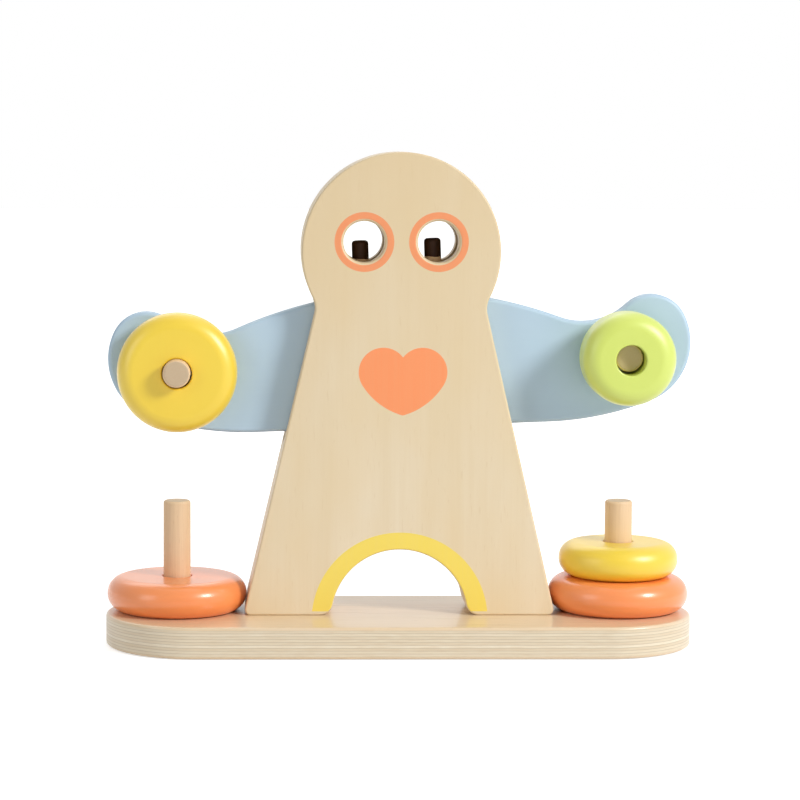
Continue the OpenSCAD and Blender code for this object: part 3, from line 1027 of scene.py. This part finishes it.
def turnToBack(piece, middle):
    activate(piece)
    startEditing()
    takeAll()
    bpy.ops.transform.resize(value=(1, -1, 1), center_override=(0, middle, 0))
    bpy.ops.mesh.normals_make_consistent(inside=False)
    stopEditing()


def makeBodyCore(settings, screws, boardTop):
    low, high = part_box("body_core")
    piece = drawFigure("bodyCoreWithStop", settings, low.y, high.y, boardTop)
    slope = math.radians(settings["tiltLimit"])
    for side in (-1, 1):
        takeAll()
        bpy.ops.mesh.bisect(
            plane_co=(0, 0, high.z), plane_no=(side * math.sin(slope), 0, math.cos(slope)),
            use_fill=True, clear_outer=True,
        )
    stopEditing()
    for x in screwPlaces(screws):
        boreUp(piece, screws["shank"], x, (low.y + high.y) / 2, low.z - beyond, screws["top"])
    return piece


def makeHeadCore(settings, boardTop):
    low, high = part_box("head_core")
    piece = drawFigure("headCoreRim", settings, low.y, high.y, boardTop)
    takeAll()
    bpy.ops.mesh.bisect(plane_co=(0, 0, low.z), plane_no=(0, 0, -1), use_fill=True, clear_outer=True)
    stopEditing()
    radius = settings["hollowRadius"]
    middle = boardTop + settings["headHeight"] * mm
    boreAcross(piece, radius, 0, middle, low.y - beyond, high.y + beyond)
    clearSelection()
    bpy.ops.mesh.primitive_cube_add(size=1)
    cutter = bpy.context.object
    cutter.scale = (2 * radius, high.y - low.y + 2 * beyond, middle - low.z + beyond)
    cutter.location = (0, (low.y + high.y) / 2, (middle + low.z - beyond) / 2)
    cutAway(piece, cutter)
    return piece


# arm beam: its outline is drawn level about the pivot, in plain millimetres, and the piece then tilted

beamSettings = {
    "rise": 23.55,
    "drop": 41.4,
    "shoulderRadius": 205,
    "dipRadius": 31,
    "tipRadius": 17.2,
    "palmRadius": 30,
    "handLean": 26,
    "handReach": 33,
    "palmDown": 4.8,
    "pegDown": 10,
    "forearmRadius": 148,
    "edge": 2.0 * mm,
    "edgeSteps": 5,
    "pegHole": 6.54 * mm,
    "axleHole": 4.08 * mm,
    "axleSides": 48,
    "pupilHole": 4.04 * mm,
    "pupilAside": 17.25 * mm,
    "pupilFoot": 10.8 * mm,  # above the pivot
    "arcSteps": {"forearm": 12, "palm": 28, "tip": 24, "dip": 16, "shoulder": 16},
}


def makeBeam(settings, pegAside, tilt):
    low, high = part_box("arm_beam")
    shoulder = Vector((0, settings["rise"] - settings["shoulderRadius"]))
    palm = Vector((pegAside / mm + settings["handReach"] - settings["palmRadius"], -settings["palmDown"]))
    tip = palm + (settings["palmRadius"] - settings["tipRadius"]) * turned(settings["handLean"])
    dip = upperMeeting(
        shoulder, settings["shoulderRadius"] + settings["dipRadius"],
        tip, settings["tipRadius"] + settings["dipRadius"],
    )
    lift = settings["forearmRadius"] - settings["drop"]
    run = math.sqrt((settings["forearmRadius"] - settings["palmRadius"]) ** 2 - (palm.y - lift) ** 2)
    forearm = Vector((palm.x - run, lift))
    wrist = direction(palm - forearm)
    intoDip = direction(tip - dip)
    outOfDip = direction(shoulder - dip)

    steps = settings["arcSteps"]
    piece = startOutline("armBeamWithHands", 0, -settings["drop"] * mm)
    drawLine(Vector((0, 0)), Vector((forearm.x, 0)) * mm)
    drawArc(forearm * mm, wrist + 90, steps["forearm"])
    drawArc(palm * mm, settings["handLean"] - wrist, steps["palm"])
    drawArc(tip * mm, 180 + intoDip - settings["handLean"], steps["tip"])
    drawArc(dip * mm, outOfDip - intoDip, steps["dip"])
    drawArc(shoulder * mm, -90 - outOfDip, steps["shoulder"])
    thicken(low.y, high.y, 0)
    pick(piece, "edges", lambda edge: endsAt(edge, 1, low.y) or endsAt(edge, 1, high.y))
    roundEdges(settings["edge"], settings["edgeSteps"])
    stopEditing()
    front = low.y - beyond
    back = high.y + beyond
    above = settings["rise"] * mm + beyond
    boreAcross(piece, settings["axleHole"], 0, 0, front, back, settings["axleSides"])
    for side in (-1, 1):
        peg = Vector((side * pegAside, -settings["pegDown"] * mm))
        boreAcross(piece, settings["pegHole"], peg.x, peg.y, front, back)
        pupil = side * settings["pupilAside"]
        boreUp(piece, settings["pupilHole"], pupil, pivot.y, settings["pupilFoot"], above)
    piece.rotation_euler = (0, tilt, 0)
    piece.location = (0, 0, pivot.z)
    return piece


# dowels and weights, turned on end and then laid where the frame has them

dowelSettings = {
    "sides": 64,
    "endEdge": 1.2 * mm,
    "pupilEdge": 1.6 * mm,
    "endSteps": 4,
    "endRing": 6,  # the dowel's radius, in widths of the ring
}
weightSettings = {
    "sides": 128,
    "rim": 8.0 * mm,
    "rimSteps": 12,
    "bore": 7.1 * mm,
    "boreEdge": 0.8 * mm,
    "boreSteps": 3,
    "rimSlack": 0.2 * mm,  # in finding the rims by their radius
}


def turnDowel(name, settings, radius, length, endEdge):
    clearSelection()
    bpy.ops.mesh.primitive_cylinder_add(vertices=settings["sides"], radius=radius, depth=length)
    piece = bpy.context.object
    piece.name = name
    startEditing()
    pick(piece, "edges", lambda edge: endsAt(edge, 2, length / 2))
    roundEdges(endEdge, settings["endSteps"])
    # a ring inside the end face keeps its shading flat
    pick(piece, "faces", lambda face: face.normal.z > squareOn and len(face.verts) == settings["sides"])
    bpy.ops.mesh.inset(thickness=radius / settings["endRing"])
    stopEditing()
    return piece


def turnWeight(name, settings, radius, thickness):
    clearSelection()
    bpy.ops.mesh.primitive_cylinder_add(vertices=settings["sides"], radius=radius, depth=thickness)
    piece = bpy.context.object
    piece.name = name
    startEditing()
    pick(piece, "faces", lambda face: abs(face.normal.z) > squareOn)
    bpy.ops.mesh.inset(thickness=radius - settings["bore"], use_individual=True)
    bpy.ops.mesh.bridge_edge_loops()

    def rimAt(reach):
        def test(edge):
            flat = endsAt(edge, 2, thickness / 2) or endsAt(edge, 2, -thickness / 2)
            off = [abs(vert.co.to_2d().length - reach) for vert in edge.verts]
            return flat and max(off) < settings["rimSlack"]
        return test

    pick(piece, "edges", rimAt(radius))
    roundEdges(settings["rim"], settings["rimSteps"])
    pick(piece, "edges", rimAt(settings["bore"]))
    roundEdges(settings["boreEdge"], settings["boreSteps"])
    faceOutwards()
    stopEditing()
    return piece


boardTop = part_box("base_board")[1].z
board = makeBoard(boardSettings, screwSettings)
finishPiece(board, "base_board", makeBoardWood("lacqueredBoard", boardWood, boardLacquer, boardTop))
print("board made")

frontLow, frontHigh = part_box("front_panel")
backLow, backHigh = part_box("back_panel")
eyeMiddles = [
    Vector((side * figureSettings["eyeAside"] * mm, 0, boardTop + figureSettings["eyeHeight"] * mm))
    for side in (-1, 1)
]
panel = makePanel("figureFront", figureSettings, boardTop, eyeMiddles)
front, back = repeatPiece(panel, ("figureFront", "figureBack"))
turnToBack(back, (frontLow.y + backHigh.y) / 2)
finishPiece(front, "front_panel", makePaintedFront(
    "paintedFigureFront", lightWood, paintedFront, eyeMiddles, boardTop, frontLow.y, frontHigh.y
))
finishPiece(back, "back_panel", makeFigureWood("figureBackWood", lightWood, backLow.y, backHigh.y))
coreWood = makeFigureWood("figureCoreWood", lightWood, frontHigh.y, backLow.y)
finishPiece(makeBodyCore(figureSettings, screwSettings, boardTop), "body_core", coreWood)
finishPiece(makeHeadCore(figureSettings, boardTop), "head_core", coreWood)
print("figure made")

handLine = middleOf("right_arm_peg") - middleOf("left_arm_peg")
restTilt = -math.atan2(handLine.z, handLine.x)
pegAside = handLine.length / 2
skyBlue = makePaint("skyBluePaint", paintColours["skyBlue"], sprayedCoat, turn=(0, 90, 0))
finishPiece(makeBeam(beamSettings, pegAside, restTilt), "arm_beam", skyBlue)
print("arm beam made")

upright = (0, 0, 0)
forwards = (math.pi / 2, 0, 0)
uprightDowel = makeDowelWood("uprightDowelWood", beechDowel)
crossDowel = makeDowelWood("crossDowelWood", beechDowel, turn=(90, 0, 0))
pegSets = (
    (("left_base_peg", "right_base_peg"), ("leftBoardPeg", "rightBoardPeg"), uprightDowel, upright),
    (("left_arm_peg", "right_arm_peg"), ("leftHandPeg", "rightHandPeg"), crossDowel, forwards),
)
for nodes, names, wood, turn in pegSets:
    low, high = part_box(nodes[0])
    size = high - low
    peg = turnDowel(names[0], dowelSettings, size.x / 2, max(size), dowelSettings["endEdge"])
    for copy, node in zip(repeatPiece(peg, names), nodes):
        layPiece(copy, node, wood, turn)
low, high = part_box("left_pupil_pin")
radius = (high.y - low.y) / 2
length = (high.z - low.z - 2 * radius * abs(math.sin(restTilt))) / math.cos(restTilt)
pin = turnDowel("leftPupil", dowelSettings, radius, length, dowelSettings["pupilEdge"])
pupils = repeatPiece(pin, ("leftPupil", "rightPupil"))
for pupil, node in zip(pupils, ("left_pupil_pin", "right_pupil_pin")):
    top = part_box(node)[1].z
    paint = makePupilPaint(pupil.name + "Paint", pupilPaint, beechDowel, top)
    layPiece(pupil, node, paint, (0, restTilt, 0))
print("dowels made")

weightPaints = {
    "yellow_paint": makePaint("sunYellowPaint", paintColours["sunYellow"], sprayedCoat),
    "lime_paint": makePaint("limePaint", paintColours["lime"], sprayedCoat, turn=(90, 0, 0)),
    "orange_paint": makePaint("orangePaint", paintColours["orange"], sprayedCoat),
}
weightSets = (
    (("left_base_weight", "right_lower_weight"), ("leftBoardWeight", "rightLowerWeight")),
    (("right_upper_weight", "left_arm_weight"), ("rightUpperWeight", "leftHandWeight")),
    (("right_arm_weight",), ("rightHandWeight",)),
)
for nodes, names in weightSets:
    low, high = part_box(nodes[0])
    size = high - low
    weight = turnWeight(names[0], weightSettings, size.x / 2, min(size.y, size.z))
    for copy, node in zip(repeatPiece(weight, names), nodes):
        turn = forwards if node.endswith("arm_weight") else upright
        layPiece(copy, node, weightPaints[slotOf[node]], turn)
print("weights made")

# hidden hardware keeps its CAD shape
hardware = {
    "pivot_axle": crossDowel,
    "front_pivot_washer": makeNylon("nylonWasher", nylonSettings),
    "base_screws": makeZinc("zincScrew", zincSettings),
}
hardware["rear_pivot_washer"] = hardware["front_pivot_washer"]
for node, material in hardware.items():
    mesh = frame["nodes"][node].data
    mesh.materials.clear()
    mesh.materials.append(material)
print("hardware finished")


# floor, world and lamps

floorSettings = {
    "size": 14.0,
    "white": (0.82, 0.82, 0.82, 1),
    "mottle": (0.8077, 0.8077, 0.8077, 1),
    "mottleScale": 3.0,
    "roughness": 0.9,
    "specular": 0.1,
    "seenWhite": (0.62, 1.0),  # near the object and far away
    "nearFar": (0.3, 0.75),
    "below": 0.3 * mm,
}
skySettings = {"light": 0.29, "seen": 1.0}
lampSettings = {
    "keyRight": {"place": (1.127, -0.85, 0.925), "size": (0.42, 0.4), "power": 18.0},
    "fillLeft": {"place": (-1.3, -1.0, 0.6), "size": (0.7, 0.9), "power": 4.2},
    "overhead": {"place": (0.1, 0.2, 1.6), "size": (1.2, 1.0), "power": 3.0},
    "behind": {"place": (-0.3, 1.15, 1.25), "size": (1.2, 0.8), "power": 4.2},
}
lampTarget = Vector((0, 0, 110 * mm))


def seenByEye(tree):
    path = tree.nodes.new("ShaderNodeLightPath")
    seen = calc(tree, "MAXIMUM", path.outputs["Is Camera Ray"], path.outputs["Is Glossy Ray"])
    return calc(tree, "MAXIMUM", seen, path.outputs["Is Transmission Ray"])


def layFloor(settings):
    clearSelection()
    bpy.ops.mesh.primitive_plane_add(size=settings["size"], location=(0, 0, -settings["below"]))
    floor = bpy.context.object
    floor.name = "paleFloor"
    material, tree, shader = newMaterial("paleFloor")
    point = placeOnPiece(tree)
    mottle = noise(tree, point, settings["mottleScale"])
    colour = blendColours(tree, mottle, settings["white"], settings["mottle"])
    tree.links.new(colour, shader.inputs["Base Color"])
    shader.inputs["Roughness"].default_value = settings["roughness"]
    shader.inputs["Specular IOR Level"].default_value = settings["specular"]
    shader.inputs["Emission Color"].default_value = (1, 1, 1, 1)
    away = calcVector(tree, "LENGTH", point)
    glow = spread(tree, away, *settings["nearFar"], *settings["seenWhite"], smooth=True)
    feed(tree, shader.inputs["Emission Strength"], calc(tree, "MULTIPLY", seenByEye(tree), glow))
    floor.data.materials.append(material)


def lightSky(settings):
    world = bpy.data.worlds.new("studioWhite")
    scene.world = world
    world.use_nodes = True
    tree = world.node_tree
    background = tree.nodes["Background"]
    background.inputs["Color"].default_value = (1, 1, 1, 1)
    strength = spread(tree, seenByEye(tree), 0, 1, settings["light"], settings["seen"])
    feed(tree, background.inputs["Strength"], strength)


def hangLamps(lamps, target):
    for name, settings in lamps.items():
        bpy.ops.object.select_all(action="DESELECT")
        place = Vector(settings["place"])
        bpy.ops.object.light_add(type="AREA", location=place)
        lamp = bpy.context.object
        lamp.name = name
        lamp.data.shape = "RECTANGLE"
        lamp.data.size, lamp.data.size_y = settings["size"]
        lamp.data.energy = settings["power"]
        lamp.rotation_euler = (target - place).to_track_quat("-Z", "Y").to_euler()


layFloor(floorSettings)
lightSky(skySettings)
hangLamps(lampSettings, lampTarget)
print("floor and lamps set")
